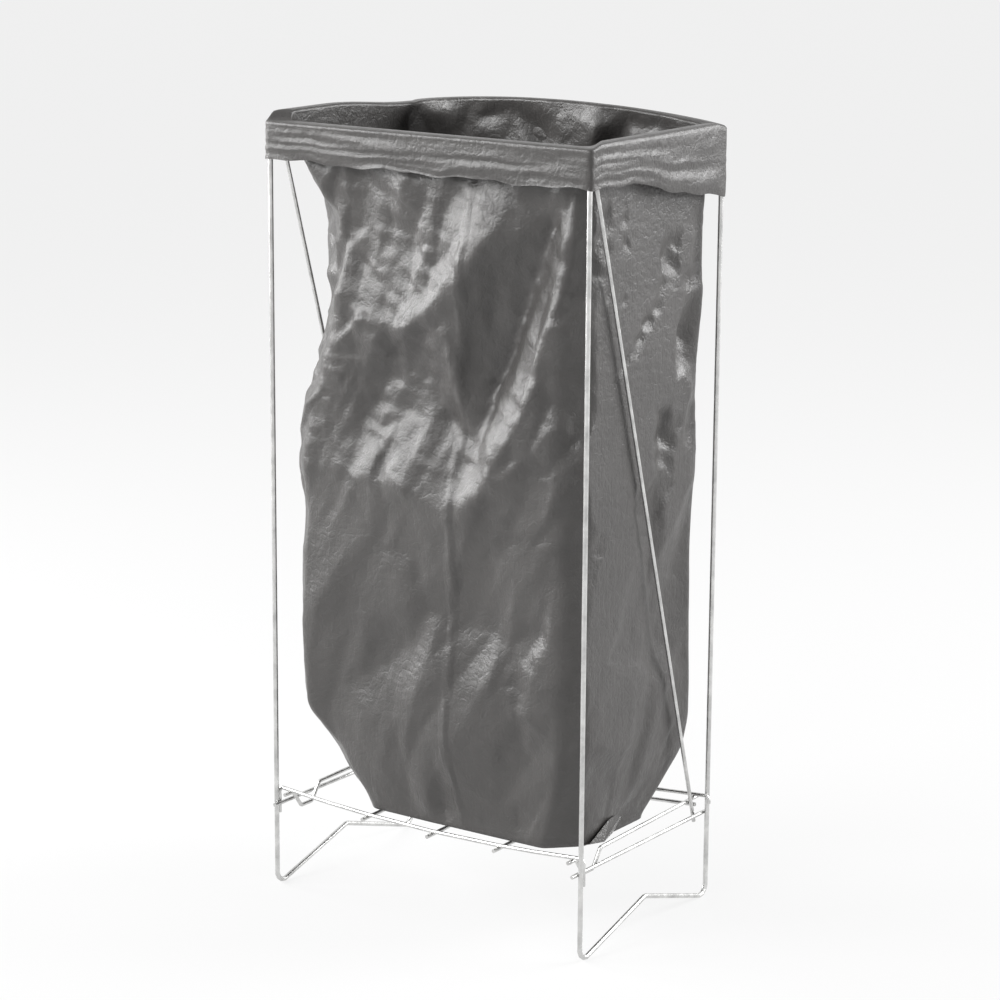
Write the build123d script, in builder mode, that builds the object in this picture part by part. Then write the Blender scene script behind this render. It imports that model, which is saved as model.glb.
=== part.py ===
from build123d import *
import os
from math import atan2, cos, radians, sin, tan

# Folding wire stand that holds a waste sack by its mouth, with the sack in it.
# Millimetres. X runs from left to right, -Y is the front, Z is up, and the
# origin is on the floor under the middle of the four legs.

os.makedirs("parts", exist_ok=True)

# Wires
frame_wire = 5.0  # round wire of the two side frames
grid_wire = 4.0  # round wire of the rails, the bow and the shelf
weld_sink = 0.15  # how far two welded wires melt into each other
running_gap = 0.3  # air between wires that move past each other
bend_step = 25.0  # turn at each joint of a bend, in degrees
foot_seat = 0.351  # lifts the feet by what the joints of their bends stand out

# Side frames
frame_height = 798.0  # floor to the top of the side frames
leg_spacing = 380.0  # left legs to right legs, between wire centres
leg_depth = 236.0  # front leg to rear leg, between wire centres
frame_bend = 11.0  # bend radius of the side frames, at the wire's centre
foot_rise = 35.0  # how far the foot wire arches up in its middle

# Rails
rail_drop = 16.0  # rail's centre below the ends of the shelf's front bar
rail_overhang = 9.0  # rail's end beyond the centre of each leg

# Bow
bow_setback = 9.0  # bow's top bar behind the centre of the front legs
bow_drop = 3.5  # bow's top bar below the top of the side frames, at its centre
bow_reach = 208.6  # how far back the diagonals run between the top and the shelf
bow_tail = 24.0  # the diagonals' ends below the shelf's level
bow_bend = 8.0

# Shelf
shelf_height = 106.0  # front bar's centre above the floor, at its ends
shelf_rise = 4.0  # how much higher the rear bar sits
shelf_sag = 9.0  # how far the bars hang down in their middle
shelf_bend = 5.0
front_tail = 28.0  # length of the front bar's ends, bent down over the rails
rear_tail = 8.0  # length of the rear bar's ends, bent down outside the rear legs
cross_tip = 8.0  # ends of the cross wires beyond the bars
cross_wire_places = (-76.0, 6.0, 88.0)  # the cross wires from the middle
hook_back = 50.0  # rear end of the end wires' hook, behind the front bar
hook_front = 6.0  # front end of that hook, behind the front bar
hook_flank = 13.0  # length along the shelf of each of the hook's slopes
hook_depth = 18.0
hook_bend = 5.0

# Sack
film = 1.0  # wall of the sack's solid
film_gap = 0.4  # air between the film and the wires
cuff_length = 40.0  # film folded down outside the rim
cuff_length_rear = 70.0  # the same at the rear, where it hangs lower
rim_corner = 8.0  # corner radius of the mouth, inside the rim
shelf_clearance = 1.6  # sack's bottom above the highest cross wire under it
rim_swell = 1.0  # how far the front stands out in its middle at the rim
rear_swell = 4.0  # how far the rear wall stands out in its middle
upper_levels = (
    # drop below the rim, then how far the wall hangs inside the middle of the
    # legs on the left, right, front and rear, how far the front stands out in
    # its middle, and the corners cut off at front left, front right, rear right
    # and rear left
    (30, 9, 9, 12, 4, 1, 22, 12, 6, 12),
    (98, 18, 12, 11, 4, 3, 62, 22, 5, 25),
    (188, 20, 14, 12, 4, 5, 60, 25, 4, 30),
    (283, 15, 14, 10, 5, 4, 27, 22, 8, 25),
    (440, 13, 15, 9, 6, 4, 15, 16, 10, 20),
)
lower_levels = (
    # rise above the shelf's ends, then the same
    (89.4, 14, 14, 9, 6, 2, 20, 18, 8, 25),
    (54.4, 27, 18, 10, 10, 1, 46, 22, 10, 35),
    (24.4, 40, 22, 13, 24, 1, 52, 26, 30, 42),
)
bottom = (62, 27, 16, 48, 1, 57, 30, 41, 45)  # the same at the bottom

# Places worked out from the sizes above
half_width = leg_spacing / 2
half_depth = leg_depth / 2
rail_height = shelf_height - rail_drop
frame_radius = frame_wire / 2
grid_radius = grid_wire / 2
rail_x = half_width - frame_radius - grid_radius + weld_sink
rail_inner = rail_x - grid_radius
rail_outer = rail_x + grid_radius
front_bar_y = -half_depth + frame_radius + running_gap + grid_radius
rear_bar_y = -front_bar_y
rear_height = shelf_height + shelf_rise
under_bar = grid_wire - weld_sink
tail_x = rail_outer + running_gap + grid_radius
rear_tail_x = half_width + frame_radius + running_gap + grid_radius
bow_top_y = -half_depth + bow_setback
bow_top_z = frame_height - bow_drop
bow_lean = atan2(bow_reach, bow_top_z - shelf_height)
bow_top_x = half_width - frame_radius - running_gap - grid_radius
bow_foot_x = rail_inner - 2 * running_gap - grid_radius
end_wire_x = bow_foot_x - grid_wire - running_gap
sag_places = (-end_wire_x, -126, -76, 6, 88, 132, end_wire_x)


def bar_dip(x):
    """How far the shelf's bars hang down at x."""
    return shelf_sag * (1 - (x / half_width) ** 2)


def save(piece, name):
    """Names a finished piece and writes its file."""
    piece.part.label = name
    export_step(piece.part, f"parts/{name}.step")


def side_plane(x):
    """Upright plane at x, in which the first axis runs to the rear."""
    return Plane(origin=(x, 0, 0), x_dir=(0, 1, 0), z_dir=(1, 0, 0))


def bent(points, radius, close=False):
    """Points of a bent wire's line, with each bend in short straight runs."""
    corners = [Vector(*point) for point in points]
    count = len(corners)
    line = [] if close else [corners[0]]
    for place in range(0 if close else 1, count if close else count - 1):
        corner = corners[place]
        back = (corners[place - 1] - corner).normalized()
        ahead = (corners[(place + 1) % count] - corner).normalized()
        turn = 180 - back.get_angle(ahead)
        joints = max(2, round(turn / bend_step))
        outward = -(back + ahead).normalized()
        centre = corner - outward * (radius / cos(radians(turn / 2)))
        reach = radius / cos(radians(turn / joints / 2))
        side = 1 if back.cross(ahead).Z > 0 else -1
        for joint in range(joints):
            swing = side * turn * ((joint + 0.5) / joints - 0.5)
            line.append(centre + outward.rotate(Axis.Z, -swing) * reach)
    if not close:
        line.append(corners[-1])
    return [(point.X, point.Y) for point in line]


def sweep_wire(plane, points, radius, close=False):
    """A round wire along a line of straight runs on a plane."""
    with BuildPart() as wire:
        with BuildLine(plane) as path:
            Polyline(*points, close=close)
        with BuildSketch(start_plane(path.line)):
            Circle(radius)
        sweep(transition=Transition.RIGHT)
    return wire


def start_plane(line):
    """Plane across the start of a path."""
    return Plane(origin=line @ 0, z_dir=line % 0)


def side_frame(x):
    """One closed loop: front leg, top, rear leg and an arched foot wire."""
    arch = atan2(foot_rise, half_depth)
    foot_turn = frame_bend * (1 + sin(arch)) / cos(arch)
    corner_z = frame_radius + frame_bend - foot_turn + foot_seat
    top_z = frame_height - frame_radius
    corners = (
        (half_depth, top_z),
        (half_depth, corner_z),
        (0, corner_z + half_depth * tan(arch)),
        (-half_depth, corner_z),
        (-half_depth, top_z),
    )
    points = [(0, top_z)] + bent(corners, frame_bend, close=True)
    return sweep_wire(side_plane(x), points, frame_radius, close=True)


def straight_wire(start, end):
    """A straight length of the thinner wire."""
    with BuildPart() as wire:
        with BuildLine() as path:
            Line(start, end)
        with BuildSketch(start_plane(path.line)):
            Circle(grid_radius)
        sweep()
    return wire


def sag_points(end_x, end_z, base_z):
    """Points of a line that hangs down in its middle as the shelf's bars do."""
    inner = [(x, base_z - bar_dip(x)) for x in sag_places if abs(x) < end_x]
    return [(-end_x, end_z)] + inner + [(end_x, end_z)]


def sagging_bar(y, end_x, end_z, tail):
    """A bar across the shelf that hangs down in its middle, with ends bent down."""
    line = sag_points(end_x, end_z, end_z)
    left = bent([(-end_x, end_z - tail)] + line[:2], shelf_bend)
    right = bent(line[-2:] + [(end_x, end_z - tail)], shelf_bend)
    points = left + line[2:-2] + right
    return sweep_wire(Plane.XZ.offset(-y), points, grid_radius)


def end_wire(x):
    """The shelf's outer wire, under the bars, with a hook near its front end."""
    dip = bar_dip(x) + under_bar
    front_z = shelf_height - dip
    rear_z = rear_height - dip
    hook_z = front_z - hook_depth
    tip_rise = cross_tip * shelf_rise / (rear_bar_y - front_bar_y - hook_back)
    corners = (
        (rear_bar_y + cross_tip, rear_z + tip_rise),
        (front_bar_y + hook_back, front_z),
        (front_bar_y + hook_back - hook_flank, hook_z),
        (front_bar_y + hook_front + hook_flank, hook_z),
        (front_bar_y + hook_front, front_z),
        (front_bar_y - cross_tip, front_z),
    )
    return sweep_wire(side_plane(x), bent(corners, hook_bend), grid_radius)


# Side frames and the rails welded inside their legs

for side, name in ((-1, "left"), (1, "right")):
    save(side_frame(side * half_width), f"{name}_side_frame")
    rail_end = half_depth + rail_overhang
    rail = straight_wire(
        (side * rail_x, -rail_end, rail_height),
        (side * rail_x, rail_end, rail_height),
    )
    save(rail, f"{name}_rail")

# Bow: one wire, bent at both upper corners, that leans from the front of the
# rim down to the rear ends of the rails

bow_plane = Plane(
    origin=(0, bow_top_y, bow_top_z),
    x_dir=(1, 0, 0),
    z_dir=(0, -cos(bow_lean), -sin(bow_lean)),
)
bow_length = (bow_top_z - shelf_height + bow_tail) / cos(bow_lean)
bow_corners = (
    (-bow_foot_x, -bow_length),
    (-bow_top_x, 0),
    (bow_top_x, 0),
    (bow_foot_x, -bow_length),
)
save(sweep_wire(bow_plane, bent(bow_corners, bow_bend), grid_radius), "bow")

# Bow's foot bar: welded behind the diagonals, under the shelf's rear wires,
# which rest on it, so it hangs down in its middle as they do

foot_bar_end = rail_inner - running_gap
foot_bar_z = rear_height - under_bar - grid_wire - 2 * running_gap
foot_bar_fall = bow_top_z - foot_bar_z + bar_dip(bow_foot_x)
foot_bar_y = bow_top_y + foot_bar_fall * tan(bow_lean) + under_bar / cos(bow_lean)
foot_end_z = foot_bar_z - bar_dip(foot_bar_end)
foot_line = sag_points(foot_bar_end, foot_end_z, foot_bar_z)
bow_foot_bar = sweep_wire(Plane.XZ.offset(-foot_bar_y), foot_line, grid_radius)
save(bow_foot_bar, "bow_foot_bar")

# Shelf: two sagging bars on top of five wires that run from front to rear

save(sagging_bar(front_bar_y, tail_x, shelf_height, front_tail), "shelf_front_bar")
save(sagging_bar(rear_bar_y, rear_tail_x, rear_height, rear_tail), "shelf_rear_bar")

for side, name in ((-1, "left"), (1, "right")):
    save(end_wire(side * end_wire_x), f"shelf_{name}_end_wire")

tip_rise = cross_tip * shelf_rise / (rear_bar_y - front_bar_y)
for number, x in enumerate(cross_wire_places, start=1):
    dip = bar_dip(x) + under_bar
    cross_wire = straight_wire(
        (x, front_bar_y - cross_tip, shelf_height - dip - tip_rise),
        (x, rear_bar_y + cross_tip, rear_height - dip + tip_rise),
    )
    save(cross_wire, f"shelf_cross_wire_{number}")

# Sack: one film that hangs inside the stand, goes over the rim and folds down
# outside it as a cuff

cuff_width = leg_spacing + frame_wire + 2 * (film_gap + film)
cuff_depth = leg_depth + frame_wire + 2 * (film_gap + film)
mouth_width = 2 * (bow_top_x - grid_radius - film_gap - film)
mouth_front = bow_top_y + grid_radius + film_gap + film
mouth_rear = half_depth - frame_radius - film_gap - film
mouth_depth = mouth_rear - mouth_front
mouth_y = (mouth_rear + mouth_front) / 2
cuff_corner = frame_radius + film_gap + film
rim_z = frame_height + film_gap
bottom_wire_z = (shelf_height + rear_height) / 2 - bar_dip(cross_wire_places[-1])
sack_bottom = bottom_wire_z - under_bar + grid_radius + shelf_clearance
corner_slant = 2 - 2**0.5  # a wall moved in shortens the cut corners by this share


def sack_outline(level, wall, sizes):
    """The sack's outline at a level, drawn in by a wall."""
    left, right = (half_width - inset - wall for inset in sizes[:2])
    front, rear = (half_depth - inset - wall for inset in sizes[2:4])
    swell = sizes[4]
    cuts = [cut - corner_slant * wall for cut in sizes[5:]]
    with BuildSketch(Plane.XY.offset(level)) as outline:
        Polygon(
            (-left, -front + cuts[0]),
            (-left + cuts[0], -front),
            (0, -front - swell),
            (right - cuts[1], -front),
            (right, -front + cuts[1]),
            (right, rear - cuts[2]),
            (right - cuts[2], rear),
            (0, rear + rear_swell),
            (-left + cuts[3], rear),
            (-left, rear - cuts[3]),
            align=None,
        )
    return outline.sketch


def sack_body(wall):
    """Outlines of the hanging sack from the rim down, drawn in by a wall."""
    side = half_width - mouth_width / 2
    rear = half_depth - mouth_rear + rear_swell
    rim = (side, side, half_depth + mouth_front, rear, rim_swell) + 4 * (rim_corner,)
    outlines = [sack_outline(rim_z, wall, rim)]
    for level in upper_levels:
        outlines.append(sack_outline(rim_z - level[0], wall, level[1:]))
    for level in lower_levels:
        outlines.append(sack_outline(shelf_height + level[0], wall, level[1:]))
    outlines.append(sack_outline(sack_bottom + wall, wall, bottom))
    return outlines


with BuildPart() as cuff:
    with BuildSketch(Plane.XY.offset(rim_z)):
        RectangleRounded(cuff_width, cuff_depth, cuff_corner)
        offset(amount=-film, mode=Mode.SUBTRACT)
    extrude(amount=-cuff_length_rear)
    with BuildSketch(Plane.YZ):
        with BuildLine():
            Polyline(
                (-cuff_depth, rim_z - cuff_length),
                (0, rim_z - cuff_length),
                (half_depth, rim_z - cuff_length_rear),
                (half_depth, rim_z - 2 * cuff_length_rear),
                (-cuff_depth, rim_z - 2 * cuff_length_rear),
                close=True,
            )
        make_face()
    extrude(amount=cuff_width, both=True, mode=Mode.SUBTRACT)

with BuildPart() as bag:
    loft(sections=sack_body(0), ruled=True)
    loft(sections=sack_body(film), ruled=True, mode=Mode.SUBTRACT)
    with BuildSketch(Plane.XY.offset(rim_z)):
        RectangleRounded(cuff_width, cuff_depth, cuff_corner)
        add(sack_body(film)[0], mode=Mode.SUBTRACT)
    extrude(amount=film)
    add(cuff.part)
save(bag, "bag")
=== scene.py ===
import math

import bpy
import numpy as np
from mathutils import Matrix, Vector
from mathutils.geometry import delaunay_2d_cdt


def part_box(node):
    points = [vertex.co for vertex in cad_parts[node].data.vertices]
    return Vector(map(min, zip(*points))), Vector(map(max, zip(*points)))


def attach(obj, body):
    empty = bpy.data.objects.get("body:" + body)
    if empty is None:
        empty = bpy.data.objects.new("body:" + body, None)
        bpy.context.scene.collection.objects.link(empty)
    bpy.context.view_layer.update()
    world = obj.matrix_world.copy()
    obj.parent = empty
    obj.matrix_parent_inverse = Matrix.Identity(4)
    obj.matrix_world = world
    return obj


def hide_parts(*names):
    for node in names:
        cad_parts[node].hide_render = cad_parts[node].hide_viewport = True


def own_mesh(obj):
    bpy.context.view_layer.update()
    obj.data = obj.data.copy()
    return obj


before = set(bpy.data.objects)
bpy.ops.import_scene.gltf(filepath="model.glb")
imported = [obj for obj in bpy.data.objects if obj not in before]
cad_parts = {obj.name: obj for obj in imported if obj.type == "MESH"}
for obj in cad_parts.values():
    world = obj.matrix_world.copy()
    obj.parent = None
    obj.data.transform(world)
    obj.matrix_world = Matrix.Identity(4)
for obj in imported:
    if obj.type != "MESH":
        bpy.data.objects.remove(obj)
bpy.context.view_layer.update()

# Folding wire stand with a grey film sack in it. Metres, in the frame of the CAD
# model: X from left to right, -Y towards the front, Z up.

# Camera, at the photograph's viewing angle

camera_place = (1.786, -2.549, 1.149)
camera_heading = 34.98  # degrees to the left of straight ahead
camera_tilt = 13.22  # degrees below the horizon
camera_roll = -0.39  # degrees about the level line ahead of it
camera_lens = 113.4  # millimetres
camera_sensor = 36.0  # millimetres

# Lamps: name, place, size and power

lamp_aim = (0, 0, 0.45)
lamps = (
    ("key", (-1.75, -1.85, 1.70), (1.3, 1.5), 68),
    ("left", (-2.5, -0.55, 1.25), (0.9, 1.8), 58),
    ("front", (-0.3, -2.8, 2.3), (0.8, 0.8), 25),
    ("back", (1.9, 1.9, 1.7), (1.5, 1.9), 105),
)

# Film sack

film_tone = (0.062, 0.059, 0.057)
fold_seed = 7
columns = 376
wall_rows = 212
cuff_rows = 16
rim_rows = 6
bottom_rows = 14
rim_rise_left = 0.009  # how far the film stands above the rim's wire
rim_rise_rear = 0.013
rim_rise_right = 0.004
rear_swell = 0.004
widest = 0.1785  # the wall stays inside this, either side, to clear the legs
rim_allowance = 0.003  # more room for it at the rim
cuff_gap = 0.0018  # from the wires to the cuff's film
corner_reach = 0.004  # a cuff place this near a side belongs to that side
crease_gap = 0.0024  # half the distance between the two front creases
crease_height = 0.0022
crease_width = 0.0032

# how much stronger the big folds are made, and what the lower half loses of that
fold_strength = 1.9
fold_loss = 0.38
# small folds: spacing, height, direction, stretch and the lower half's loss
small_folds = (
    (0.042, 0.0070, 1.95, 2.4, 0.40),
    (0.019, 0.0040, 2.15, 2.2, 0.72),
    (0.0095, 0.0016, 0.30, 2.0, 0.78),
)
# the cuff's wrinkles: spacing, height, direction and stretch
cuff_wrinkles = ((0.0060, 0.0019, 0.02, 14.0), (0.012, 0.0012, -0.06, 6.0))
# the hem: how far below the rim the cuff reaches, at the front left corner, the
# front right corner, four places along the right, the rear right corner and the end
hem_drops = (0.036, 0.037, 0.044, 0.052, 0.059, 0.066, 0.067, 0.036)

# drop below the rim, then how far the wall stands out on the left, right, front
# and rear, the front's swell in its middle, and the corners cut off at front
# left, front right, rear right and rear left, in millimetres
film_levels = (
    (0, 182, 182, 105.6, 110, 0.5, 8, 8, 8, 8),
    (30, 181, 181, 106, 113, 1, 22, 12, 6, 12),
    (98, 172, 178, 107, 114, 3, 62, 22, 5, 25),
    (188, 170, 176, 106, 114, 5, 60, 25, 4, 30),
    (283, 175, 176, 108, 113, 4, 27, 22, 8, 25),
    (440, 177, 175, 109, 112, 4, 15, 16, 10, 20),
    (603, 176, 176, 109, 112, 2, 20, 18, 8, 25),
    (638, 163, 172, 108, 108, 1, 46, 22, 10, 35),
    (668, 150, 168, 105, 94, 1, 52, 26, 30, 42),
    (697.4, 128, 163, 102, 70, 1, 57, 30, 41, 45),
)

# the big folds as points of a faceted sheet: place across the stand, height
# above the floor and how far the point stands out, in millimetres
front_folds = (
    (-126, 757, 0), (-42, 758, 1), (40, 755, 0), (104, 754, -1), (143, 752, -5),
    (174, 755, 0), (80, 706, 4), (41, 665, 5), (31, 604, 4), (32, 551, 3),
    (147, 719, -9), (120, 654, -13), (94, 592, -13), (74, 546, -10), (56, 505, -4),
    (180, 700, 2), (160, 632, 6), (141, 565, 8), (114, 508, 8), (83, 464, 7),
    (-71, 708, -2), (-21, 686, -1), (-83, 652, 2), (-8, 616, 6), (-66, 601, 6),
    (25, 603, 5), (-32, 566, -7), (1, 547, -8), (-70, 551, -6), (-104, 557, -3),
    (-142, 452, 3), (-27, 448, 9), (39, 422, 9), (91, 460, 7), (184, 521, 4),
    (-82, 526, -5), (-28, 523, -6), (26, 516, -5), (-130, 695, -2), (-125, 620, 2),
    (-146, 510, 0), (-163, 421, 0), (-81, 401, 2), (-18, 376, 0), (27, 343, -3),
    (83, 392, 1), (143, 418, 2), (-136, 323, 2), (-81, 304, 1), (-26, 327, 2),
    (3, 327, -5), (-26, 286, -6), (-80, 246, -5), (-123, 228, 0), (11, 272, 4),
    (28, 248, 6), (-17, 233, 5), (60, 315, -7), (108, 310, -4), (163, 359, 3),
    (152, 324, -5), (120, 285, -3), (85, 265, 3), (163, 312, 4), (125, 239, 3),
    (133, 194, -2), (184, 210, 2), (85, 208, 4), (4, 193, 6), (-59, 181, 3),
    (-101, 110, 0), (-37, 133, 2), (4, 138, -2), (86, 131, 0), (165, 130, 0),
)
# the same on the right, by place from front to rear
right_folds = (
    (8, 717, 4), (34, 673, -4), (-15, 647, 6), (-39, 624, 4), (16, 629, -6),
    (-26, 595, -4), (48, 610, 5), (56, 541, 6), (-1, 551, 2), (81, 592, -5),
    (99, 637, 2), (-37, 524, 3), (51, 491, -2), (20, 463, 2), (-11, 437, 0),
    (-53, 708, 0), (66, 703, 0), (-35, 425, 3), (52, 424, 0), (22, 352, -3),
    (-46, 353, 4), (-69, 285, 6), (-8, 267, 0), (42, 286, -4), (-50, 220, 6),
    (-6, 182, -2), (43, 238, 2), (-43, 164, -6), (7, 137, 2),
)
# the same on the rear wall just under the rim, by place across and drop from it
rear_folds = (
    (-176, 8, -5), (-160, 30, 4), (-143, 10, -7), (-120, 6, 2), (-96, 34, -3),
    (-62, 12, 1), (-34, 36, 3), (2, 12, -1), (32, 4, -3), (44, 40, -7), (55, 18, -8),
    (70, 42, 4), (84, 10, 3), (108, 38, -3), (132, 8, 2), (160, 30, -3),
)
# the line of the two creases down the front
crease_line = ((47, 738), (42, 637), (35, 486), (33, 334), (28, 231), (25, 120))


def new_material(name):
    """A new material, with its nodes, its links and its shader."""
    material = bpy.data.materials.new(name)
    material.use_nodes = True
    nodes = material.node_tree.nodes
    links = material.node_tree.links
    shader = nodes["Principled BSDF"]
    return material, nodes, links, shader


def noise_node(nodes, links, coordinates, scale, detail=4.0, roughness=0.5):
    """A noise texture on given coordinates."""
    noise = nodes.new("ShaderNodeTexNoise")
    noise.inputs["Scale"].default_value = scale
    noise.inputs["Detail"].default_value = detail
    noise.inputs["Roughness"].default_value = roughness
    links.new(coordinates, noise.inputs["Vector"])
    return noise


def stretched(nodes, links, scale):
    """Object coordinates stretched by a scale along each axis."""
    coordinates = nodes.new("ShaderNodeTexCoord")
    mapping = nodes.new("ShaderNodeMapping")
    mapping.inputs["Scale"].default_value = scale
    links.new(coordinates.outputs["Object"], mapping.inputs["Vector"])
    return mapping.outputs["Vector"]


def mapped(nodes, links, value, low, high, from_low=0.3, from_high=0.7):
    """A value brought from one range to another."""
    ramp = nodes.new("ShaderNodeMapRange")
    ramp.inputs["From Min"].default_value = from_low
    ramp.inputs["From Max"].default_value = from_high
    ramp.inputs["To Min"].default_value = low
    ramp.inputs["To Max"].default_value = high
    links.new(value, ramp.inputs["Value"])
    return ramp.outputs["Result"]


def two_colours(nodes, links, value, dark, light):
    """A mix of two colours by a value."""
    mix = nodes.new("ShaderNodeMix")
    mix.data_type = "RGBA"
    mix.inputs["A"].default_value = (*dark, 1)
    mix.inputs["B"].default_value = (*light, 1)
    links.new(value, mix.inputs["Factor"])
    return mix.outputs["Result"]


def bump_chain(nodes, links, shader, layers):
    """Bump layers one on another, each a height with its strength and distance."""
    normal = None
    for height, strength, distance in layers:
        bump = nodes.new("ShaderNodeBump")
        bump.inputs["Strength"].default_value = strength
        bump.inputs["Distance"].default_value = distance
        links.new(height, bump.inputs["Height"])
        if normal is not None:
            links.new(normal, bump.inputs["Normal"])
        normal = bump.outputs["Normal"]
    links.new(normal, shader.inputs["Normal"])


def zinc_material():
    """Bright zinc plating on drawn wire: clouded, with faint pits and streaks."""
    material, nodes, links, shader = new_material("zinc_wire")
    plain = stretched(nodes, links, (1, 1, 1))
    clouds = noise_node(nodes, links, plain, 60, 5, 0.6)
    streaks = noise_node(nodes, links, stretched(nodes, links, (900, 900, 30)), 1, 3)
    pits = noise_node(nodes, links, plain, 1400, 2)
    tone = mapped(nodes, links, clouds.outputs["Fac"], 0, 1)
    colour = two_colours(nodes, links, tone, (0.46, 0.46, 0.455), (0.74, 0.74, 0.73))
    links.new(colour, shader.inputs["Base Color"])
    rough = mapped(nodes, links, streaks.outputs["Fac"], 0.20, 0.42)
    links.new(rough, shader.inputs["Roughness"])
    shader.inputs["Metallic"].default_value = 1.0
    layers = (
        (streaks.outputs["Fac"], 0.25, 0.0003),
        (pits.outputs["Fac"], 0.15, 0.0002),
    )
    bump_chain(nodes, links, shader, layers)
    return material


def film_material():
    """Half-gloss dark grey polyethylene film with fine crinkles."""
    material, nodes, links, shader = new_material("grey_film")
    plain = stretched(nodes, links, (1, 1, 1))
    clouds = noise_node(nodes, links, plain, 14, 4, 0.6)
    tone = mapped(nodes, links, clouds.outputs["Fac"], 0, 1)
    light = tuple(1.15 * part for part in film_tone)
    dark = tuple(0.88 * part for part in film_tone)
    colour = two_colours(nodes, links, tone, dark, light)
    links.new(colour, shader.inputs["Base Color"])
    grain = noise_node(nodes, links, plain, 90, 6, 0.65)
    rough = mapped(nodes, links, grain.outputs["Fac"], 0.30, 0.44)
    links.new(rough, shader.inputs["Roughness"])
    shader.inputs["IOR"].default_value = 1.51
    warp = noise_node(nodes, links, plain, 40, 3)
    bent = nodes.new("ShaderNodeVectorMath")
    bent.operation = "MULTIPLY_ADD"
    bent.inputs[1].default_value = (0.06, 0.06, 0.06)
    links.new(warp.outputs["Color"], bent.inputs[0])
    links.new(plain, bent.inputs[2])
    creases = nodes.new("ShaderNodeTexVoronoi")
    creases.feature = "DISTANCE_TO_EDGE"
    creases.inputs["Scale"].default_value = 55
    links.new(bent.outputs["Vector"], creases.inputs["Vector"])
    crease_height = mapped(nodes, links, creases.outputs["Distance"], 0, 1, 0, 0.14)
    level = noise_node(nodes, links, stretched(nodes, links, (40, 40, 150)), 1, 5, 0.6)
    draw = noise_node(nodes, links, stretched(nodes, links, (420, 420, 16)), 1, 3)
    layers = (
        (crease_height, 0.16, 0.0010),
        (grain.outputs["Fac"], 0.50, 0.0020),
        (level.outputs["Fac"], 0.25, 0.0014),
        (draw.outputs["Fac"], 0.30, 0.0008),
    )
    bump_chain(nodes, links, shader, layers)
    return material


def seen_rays(nodes, links):
    """1 for the rays that show the background: camera, glossy and transmission."""
    path = nodes.new("ShaderNodeLightPath")
    value = path.outputs["Is Camera Ray"]
    for name in ("Is Glossy Ray", "Is Transmission Ray"):
        either = nodes.new("ShaderNodeMath")
        either.operation = "MAXIMUM"
        links.new(value, either.inputs[0])
        links.new(path.outputs[name], either.inputs[1])
        value = either.outputs["Value"]
    return value


def floor_material():
    """Pale floor that reads nearly white and keeps the stand's soft shadow."""
    material, nodes, links, shader = new_material("floor")
    shader.inputs["Base Color"].default_value = (0.80, 0.80, 0.80, 1)
    shader.inputs["Roughness"].default_value = 0.9
    glow = nodes.new("ShaderNodeEmission")
    glow.inputs["Color"].default_value = (0.97, 0.97, 0.97, 1)
    share = nodes.new("ShaderNodeMath")
    share.operation = "MULTIPLY"
    share.inputs[1].default_value = 0.86
    mix = nodes.new("ShaderNodeMixShader")
    links.new(seen_rays(nodes, links), share.inputs[0])
    links.new(share.outputs["Value"], mix.inputs["Fac"])
    links.new(shader.outputs["BSDF"], mix.inputs[1])
    links.new(glow.outputs["Emission"], mix.inputs[2])
    links.new(mix.outputs["Shader"], nodes["Material Output"].inputs["Surface"])
    return material


def smoothstep(value, low, high):
    """0 below low, 1 above high, with a soft step between."""
    share = np.clip((value - low) / (high - low), 0, 1)
    return share * share * (3 - 2 * share)


# The sack's sheet: columns run round it from the rear left corner by the left, the
# front and the right to the rear; rows run down it

frame_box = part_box("right_side_frame")
rim_z = frame_box[1][2]
wire_radius = (frame_box[1][0] - frame_box[0][0]) / 2
leg_x = frame_box[1][0] - wire_radius
leg_y = frame_box[1][1] - wire_radius
girth = 4 * (leg_x + leg_y)
front_start = 2 * leg_y
right_start = 2 * (leg_y + leg_x)
sheet_u = np.arange(columns) / columns * girth
rear_start = right_start + front_start
bottom_drop = film_levels[-1][0] / 1000
sheet_v = np.linspace(0, bottom_drop, wall_rows)


def level_outline(level):
    """Corner points of the sack's outline at a level, from the rear left round."""
    left, right, front, rear, swell, cut_fl, cut_fr, cut_rr, cut_rl = level[1:]
    return np.array((
        (-left + cut_rl / 2, rear - cut_rl / 2),
        (-left, rear - cut_rl),
        (-left, -front + cut_fl),
        (-left + cut_fl / 2, -front + cut_fl / 2),
        (-left + cut_fl, -front),
        (0, -front - swell),
        (right - cut_fr, -front),
        (right - cut_fr / 2, -front + cut_fr / 2),
        (right, -front + cut_fr),
        (right, rear - cut_rr),
        (right - cut_rr / 2, rear - cut_rr / 2),
        (right - cut_rr, rear),
        (0, rear + rear_swell * 1000),
        (-left + cut_rl, rear),
        (-left + cut_rl / 2, rear - cut_rl / 2),
    )) / 1000


def along_outline(outline):
    """The outline at every column, with each side's share of the columns fixed."""
    sides = (
        (0, 3, 0, front_start),
        (3, 7, front_start, right_start),
        (7, 10, right_start, rear_start),
        (10, 14, rear_start, girth),
    )
    x, y = np.zeros(columns), np.zeros(columns)
    for first, last, start, end in sides:
        part = outline[first:last + 1]
        steps = np.hypot(*np.diff(part, axis=0).T)
        places = np.concatenate([[0], np.cumsum(steps)]) / steps.sum()
        places = start + places * (end - start)
        here = (sheet_u >= start - 1e-9) & (sheet_u < end - 1e-9)
        x[here] = np.interp(sheet_u[here], places, part[:, 0])
        y[here] = np.interp(sheet_u[here], places, part[:, 1])
    return x, y


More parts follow.
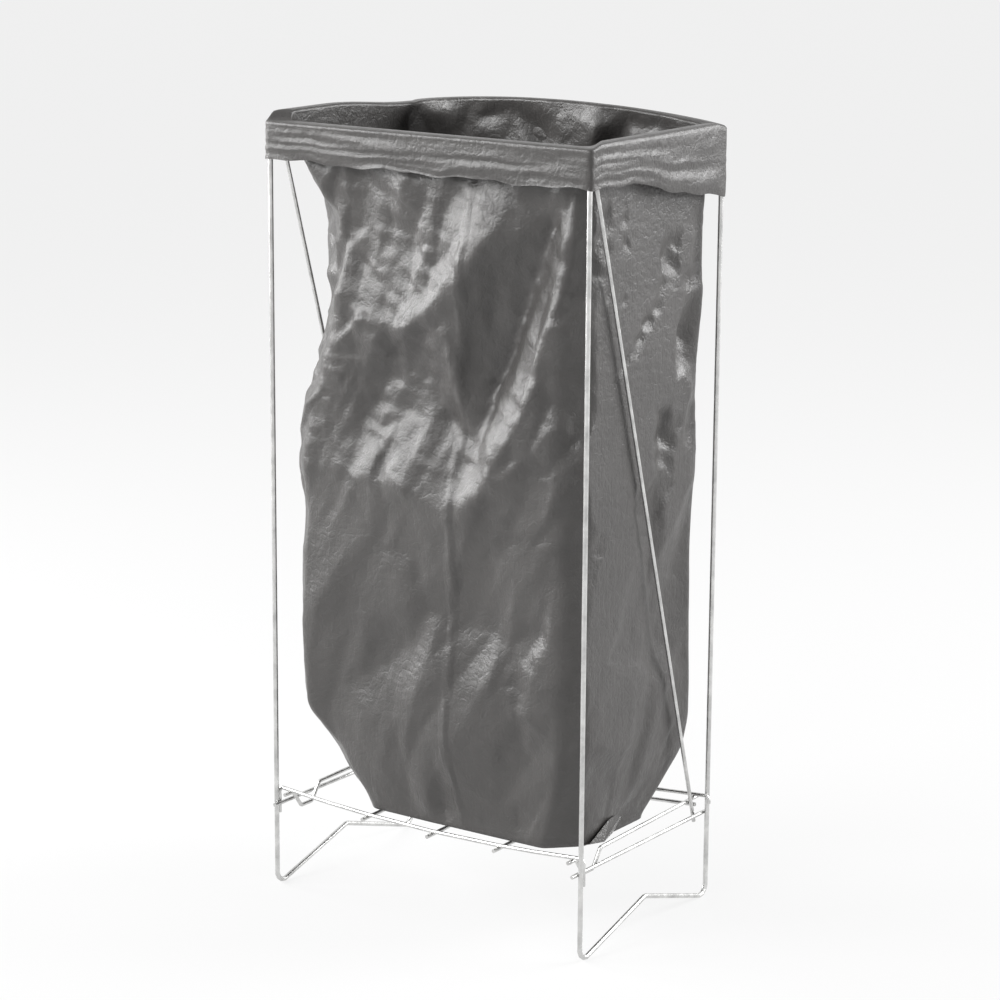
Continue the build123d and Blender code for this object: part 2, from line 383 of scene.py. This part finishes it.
def smooth(field, reach, axis):
    """A field softened over some cells, closed on itself round the sack."""
    for _ in range(reach):
        if axis == 1:
            field = (np.roll(field, 1, 1) + 2 * field + np.roll(field, -1, 1)) / 4
        else:
            edge = np.concatenate([field[:1], field, field[-1:]])
            field = (edge[:-2] + 2 * edge[1:-1] + edge[2:]) / 4
    return field


def facet_field(points, turn=0.0, stretch=1.0):
    """Heights of a sheet of flat facets through points (across, down, height)."""
    c, s = math.cos(turn), math.sin(turn)
    flat = [Vector(((u * c + v * s) / stretch, -u * s + v * c)) for u, v, _ in points]
    corners, _, triangles, sources, _, _ = delaunay_2d_cdt(flat, [], [], 0, 1e-7)
    places = [points[source[0]] for source in sources]
    field = np.zeros((wall_rows, columns))
    step_u, step_v = girth / columns, bottom_drop / (wall_rows - 1)
    for triangle in triangles:
        (ua, va, ha), (ub, vb, hb), (uc, vc, hc) = (places[i] for i in triangle)
        area = (ub - ua) * (vc - va) - (uc - ua) * (vb - va)
        left = max(0, math.ceil(min(ua, ub, uc) / step_u))
        right = min(columns - 1, math.floor(max(ua, ub, uc) / step_u))
        top = max(0, math.ceil(min(va, vb, vc) / step_v))
        low = min(wall_rows - 1, math.floor(max(va, vb, vc) / step_v))
        if abs(area) < 1e-12 or left > right or top > low:
            continue
        u = np.arange(left, right + 1)[None, :] * step_u
        v = np.arange(top, low + 1)[:, None] * step_v
        share_b = ((u - ua) * (vc - va) - (uc - ua) * (v - va)) / area
        share_c = ((ub - ua) * (v - va) - (u - ua) * (vb - va)) / area
        inside = (share_b >= -1e-9) & (share_c >= -1e-9)
        inside &= share_b + share_c <= 1 + 1e-9
        heights = ha + share_b * (hb - ha) + share_c * (hc - ha)
        window = field[top:low + 1, left:right + 1]
        window[inside] = heights[inside]
    return field


def random_facets(rng, spacing, height, turn=0.0, stretch=1.0):
    """A crumpled sheet: facets of a size, drawn out along a slanted direction."""
    c, s = math.cos(turn), math.sin(turn)
    reach = girth * 0.75
    points = []
    for i in np.arange(-reach, reach, spacing * stretch):
        for j in np.arange(-reach, reach, spacing):
            along = i + rng.uniform(-0.45, 0.45) * spacing * stretch
            aside = j + rng.uniform(-0.45, 0.45) * spacing
            u = girth / 2 + along * c - aside * s
            v = bottom_drop / 2 + along * s + aside * c
            if -0.12 < u < girth + 0.12 and -0.12 < v < bottom_drop + 0.12:
                points.append((u, v, rng.uniform(-height, height)))
    return facet_field(points, turn, stretch)


def big_folds(rng):
    """The folds seen in front and on the right, and others like them elsewhere."""
    points = []
    for x, z, height in front_folds:
        u = front_start + leg_x + x / 1000
        points.append((u, rim_z - z / 1000, height / 1000))
    for y, z, height in right_folds:
        u = right_start + leg_y + y / 1000
        points.append((u, rim_z - z / 1000, height / 1000))
    for start, end in ((0.02, front_start - 0.02), (rear_start, girth)):
        for v in np.arange(0.04, bottom_drop, 0.075):
            for u in np.arange(start + 0.02, end, 0.075):
                place = (u + rng.uniform(-0.02, 0.02), v + rng.uniform(-0.02, 0.02))
                points.append((*place, rng.uniform(-0.005, 0.003)))
    for x, drop, height in rear_folds:
        points.append((rear_start + leg_x - x / 1000, drop / 1000, height / 1000))
    for u in np.arange(-0.2, girth + 0.3, 0.1):
        points += [(u, -0.02, 0.0), (u, bottom_drop + 0.02, 0.0)]
    for v in np.arange(0.05, bottom_drop, 0.1):
        points += [(-0.05, v, 0.0), (girth + 0.05, v, 0.0)]
    return smooth(smooth(facet_field(points), 2, 1), 2, 0)


def crease_pair():
    """Two fine creases side by side, where the flat sack was folded."""
    drops = [rim_z - z / 1000 for _, z in crease_line]
    middle = np.interp(sheet_v, drops, [x / 1000 for x, _ in crease_line])
    off = sheet_u[None, :] - (front_start + leg_x + middle[:, None])
    off = off + 0.0012 * np.sin(sheet_v[:, None] * 90) * np.sin(sheet_v[:, None] * 37)
    near = np.abs(np.abs(off) - crease_gap)
    return crease_height * np.clip(1 - near / crease_width, 0, 1)


def wall_relief(rng):
    """All folds of the hanging film, as heights over its main form."""
    # the lower half is smoother, apart from a crumple by the front right leg
    lower = smoothstep(sheet_v, 0.27, 0.45)[:, None]
    off_u = (sheet_u[None, :] - front_start - leg_x - 0.125) / 0.045
    off_v = (sheet_v[:, None] - 0.560) / 0.070
    lower = lower * (1 - 0.8 * np.exp(-(off_u**2) - off_v**2))
    relief = big_folds(rng) * fold_strength * (1 - fold_loss * lower)
    for spacing, height, turn, stretch, loss in small_folds:
        facets = random_facets(rng, spacing, height, turn, stretch)
        relief += facets * (1 - loss * lower)
    seam = smoothstep(sheet_u, 0, 0.03) * (1 - smoothstep(sheet_u, girth - 0.03, girth))
    return (relief + crease_pair()) * seam[None, :]


def main_form():
    """The wall's X and Y before any fold, row by row down the sack."""
    outlines = np.array([level_outline(level) for level in film_levels])
    drops = np.array([level[0] for level in film_levels]) / 1000
    x, y = np.zeros((wall_rows, columns)), np.zeros((wall_rows, columns))
    for row, drop in enumerate(sheet_v):
        here = int(np.searchsorted(drops, drop, side="right")) - 1
        here = min(here, len(drops) - 2)
        share = (drop - drops[here]) / (drops[here + 1] - drops[here])
        outline = outlines[here] * (1 - share) + outlines[here + 1] * share
        x[row], y[row] = along_outline(outline)
    return [smooth(smooth(part, 5, 1), 9, 0) for part in (x, y)]


def rim_sides():
    """How much each column is left or rear, and how far its film stands up."""
    on_left = smoothstep(sheet_u, 0, 0.15)
    on_left = on_left * (1 - smoothstep(sheet_u, front_start - 0.015, front_start))
    on_right = smoothstep(sheet_u, right_start, right_start + 0.02)
    on_right = on_right * (1 - smoothstep(sheet_u, rear_start - 0.02, rear_start))
    rear_place = np.clip((sheet_u - rear_start) / (girth - rear_start), 0, 1)
    on_rear = np.sin(math.pi * rear_place) ** 0.7
    rise = rim_rise_left * on_left + rim_rise_right * on_right + rim_rise_rear * on_rear
    return on_left, on_rear, rise


def folded_wall(rng, on_left, on_rear):
    """The wall's X and Y with all its folds, kept clear of the wires."""
    x, y = main_form()
    turn_x = np.roll(x, -1, 1) - np.roll(x, 1, 1)
    turn_y = np.roll(y, -1, 1) - np.roll(y, 1, 1)
    size = np.maximum(np.hypot(turn_x, turn_y), 1e-9)
    # the folds fade out at the bottom, and at the rim where a wire holds the film
    fade_out = 1 - smoothstep(sheet_v, bottom_drop - 0.02, bottom_drop)
    fall = smoothstep(sheet_v, 0.0, 0.05) * fade_out
    free_rim = np.maximum(on_rear, on_left)[None, :]
    early = 0.3 + 0.7 * smoothstep(sheet_v, 0.0, 0.02)
    at_rim = (sheet_v < 0.05)[:, None]
    fall = fall[:, None] + (early - fall)[:, None] * free_rim * at_rim
    calm = 1 - 0.75 * np.exp(-(((sheet_u - rear_start) / 0.03) ** 2))
    relief = wall_relief(rng) * fall * calm[None, :]
    x = x + relief * turn_y / size
    y = y - relief * turn_x / size
    limit = widest + rim_allowance * (1 - smoothstep(sheet_v, 0.02, 0.05))[:, None]
    return np.clip(x, -limit, limit), y


def cuff_outline(out_x, out_y):
    """The cuff's X and Y round the legs at every column, without its wrinkles."""
    corners = np.array([
        (-out_x, out_y), (-out_x, 0), (-out_x, -out_y), (0, -out_y),
        (out_x, -out_y), (out_x, 0), (out_x, out_y), (0, out_y), (-out_x, out_y),
    ])
    marks = (
        0, leg_y, front_start, front_start + leg_x, right_start,
        right_start + leg_y, rear_start, rear_start + leg_x, girth,
    )
    lines = [np.interp(sheet_u, marks, part)[None, :] for part in corners.T]
    return [smooth(line, 2, 1)[0] for line in lines]


def film_mesh():
    """The whole film: cuff outside the rim, over it, down inside and the bottom."""
    rng = np.random.default_rng(fold_seed)
    on_left, on_rear, rise = rim_sides()
    x, y = folded_wall(rng, on_left, on_rear)
    z = rim_z + 0.002 - sheet_v[:, None] * (bottom_drop + 0.0005) / bottom_drop
    z = z + rise[None, :] * (1 - smoothstep(sheet_v, 0, 0.07))[:, None]

    out_x, out_y = leg_x + wire_radius + cuff_gap, leg_y + wire_radius + cuff_gap
    cuff_x, cuff_y = cuff_outline(out_x, out_y)
    hem_u = [front_start, right_start, right_start + 0.09, right_start + 0.123]
    hem_u += [right_start + 0.155, right_start + 0.19, rear_start, girth]
    hem = np.interp(sheet_u, hem_u, hem_drops)
    hem = hem + 0.0012 * np.sin(sheet_u * 61) + 0.0008 * np.sin(sheet_u * 143 + 1)
    wrinkle = sum(random_facets(rng, *row) for row in cuff_wrinkles)
    side_x = np.sign(cuff_x) * (np.abs(cuff_x) > out_x - corner_reach)
    side_y = np.sign(cuff_y) * (np.abs(cuff_y) > out_y - corner_reach)
    from_corner = np.abs(np.abs(cuff_x) - out_x) + np.abs(np.abs(cuff_y) - out_y)
    slack = 0.25 + 0.75 * smoothstep(from_corner, 0.0, 0.03)

    rows = []
    for index in range(cuff_rows):
        share = index / (cuff_rows - 1)
        line = wrinkle[min(wall_rows - 1, int((1 - share) * 24) + 4)]
        lift = (0.0012 + line) * slack * (1 - 0.5 * share)
        height = rim_z + 0.0005 + rise * 0.85 - hem * (1 - share)
        rows.append((cuff_x + side_x * lift, cuff_y + side_y * lift, height))
    for index in range(1, rim_rows + 1):
        angle = math.pi * index / (rim_rows + 1)
        share = (1 - math.cos(angle)) / 2
        rim_x = cuff_x + (x[0] - cuff_x) * share
        rim_y = cuff_y + (y[0] - cuff_y) * share
        rows.append((rim_x, rim_y, rim_z + 0.0008 + rise + 0.0018 * math.sin(angle)))
    rows += [(x[row], y[row], z[row]) for row in range(wall_rows)]
    middle_y = y[-1].mean()
    for index in range(1, bottom_rows + 1):
        share = index / bottom_rows
        bottom_x = x[-1] * (1 - 0.25 * share)
        bottom_y = middle_y + (y[-1] - middle_y) * (1 - share)
        rows.append((bottom_x, bottom_y, z[-1]))

    points = np.array([np.stack(row, -1) for row in rows]).reshape(-1, 3)
    faces = []
    for row in range(len(rows) - 1):
        for column in range(columns):
            here = row * columns + column
            beside = row * columns + (column + 1) % columns
            faces.append((here, here + columns, beside + columns, beside))
    mesh = bpy.data.meshes.new("bag_film")
    mesh.from_pydata(points.tolist(), [], faces)
    mesh.shade_smooth()
    mesh.update()
    return mesh


def new_piece(name, mesh, material):
    """An object in the scene from a mesh, with its material."""
    piece = bpy.data.objects.new(name, mesh)
    bpy.context.scene.collection.objects.link(piece)
    piece.data.materials.append(material)
    return piece


def make_bag(material):
    """The film sack, which stands for the plain bag solid."""
    bag = new_piece("bag_film", film_mesh(), material)
    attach(bag, "stand")
    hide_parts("bag")
    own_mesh(bag)


def make_flap(material):
    """The sack's lower front right corner: a folded flap that stands open."""
    places = (
        (150, -86, 103), (168, -70, 104), (171, -30, 107), (160, 8, 119),
        (140, -8, 103.5), (169, -36, 121), (174, -52, 103),
    )
    faces = (
        (0, 1, 4), (1, 6, 2), (2, 6, 3), (1, 5, 6), (5, 3, 6), (4, 1, 2), (4, 2, 3),
    )
    mesh = bpy.data.meshes.new("bag_corner")
    mesh.from_pydata([[value / 1000 for value in place] for place in places], [], faces)
    flap = new_piece("bag_corner", mesh, material)
    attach(flap, "stand")
    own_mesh(flap)


def dress_wires(material):
    """Gives every wire of the CAD model the zinc material."""
    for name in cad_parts:
        if name != "bag":
            piece = bpy.data.objects[name]
            piece.data.materials.clear()
            piece.data.materials.append(material)


def make_light(name, place, size, power):
    """A soft rectangular lamp that points at the middle of the stand."""
    lamp = bpy.data.lights.new(name, "AREA")
    lamp.shape = "RECTANGLE"
    lamp.size, lamp.size_y = size
    lamp.energy = power
    holder = bpy.data.objects.new(name, lamp)
    holder.location = place
    direction = Vector(lamp_aim) - Vector(place)
    holder.rotation_euler = direction.to_track_quat("-Z", "Y").to_euler()
    bpy.context.scene.collection.objects.link(holder)


def make_studio():
    """Floor, world and soft lamps."""
    bpy.ops.mesh.primitive_plane_add(size=30, location=(0, 0, 0))
    floor = bpy.context.object
    floor.name = "floor"
    floor.data.materials.append(floor_material())

    world = bpy.data.worlds.new("studio")
    bpy.context.scene.world = world
    world.use_nodes = True
    nodes, links = world.node_tree.nodes, world.node_tree.links
    light = nodes["Background"]
    light.inputs["Strength"].default_value = 0.26
    coordinates = nodes.new("ShaderNodeTexCoord")
    parts = nodes.new("ShaderNodeSeparateXYZ")
    links.new(coordinates.outputs["Generated"], parts.inputs["Vector"])
    height = mapped(nodes, links, parts.outputs["Z"], 0, 1, -0.1, 0.75)
    sky = two_colours(nodes, links, height, (0.28, 0.28, 0.29), (1, 1, 1))
    links.new(sky, light.inputs["Color"])
    seen = nodes.new("ShaderNodeBackground")
    seen.inputs["Color"].default_value = (1, 1, 1, 1)
    mix = nodes.new("ShaderNodeMixShader")
    links.new(seen_rays(nodes, links), mix.inputs["Fac"])
    links.new(light.outputs["Background"], mix.inputs[1])
    links.new(seen.outputs["Background"], mix.inputs[2])
    links.new(mix.outputs["Shader"], nodes["World Output"].inputs["Surface"])

    for lamp in lamps:
        make_light(*lamp)


def make_camera():
    """The camera at the photograph's viewing angle."""
    data = bpy.data.cameras.new("camera")
    data.sensor_width = camera_sensor
    data.lens = camera_lens
    camera = bpy.data.objects.new("camera", data)
    camera.location = camera_place
    camera.rotation_mode = "XYZ"
    angles = (90 - camera_tilt, camera_roll, camera_heading)
    camera.rotation_euler = [math.radians(angle) for angle in angles]
    bpy.context.scene.collection.objects.link(camera)
    bpy.context.scene.camera = camera


bpy.context.scene.view_settings.view_transform = "Standard"
make_camera()
make_studio()
dress_wires(zinc_material())
film = film_material()
make_flap(film)
make_bag(film)
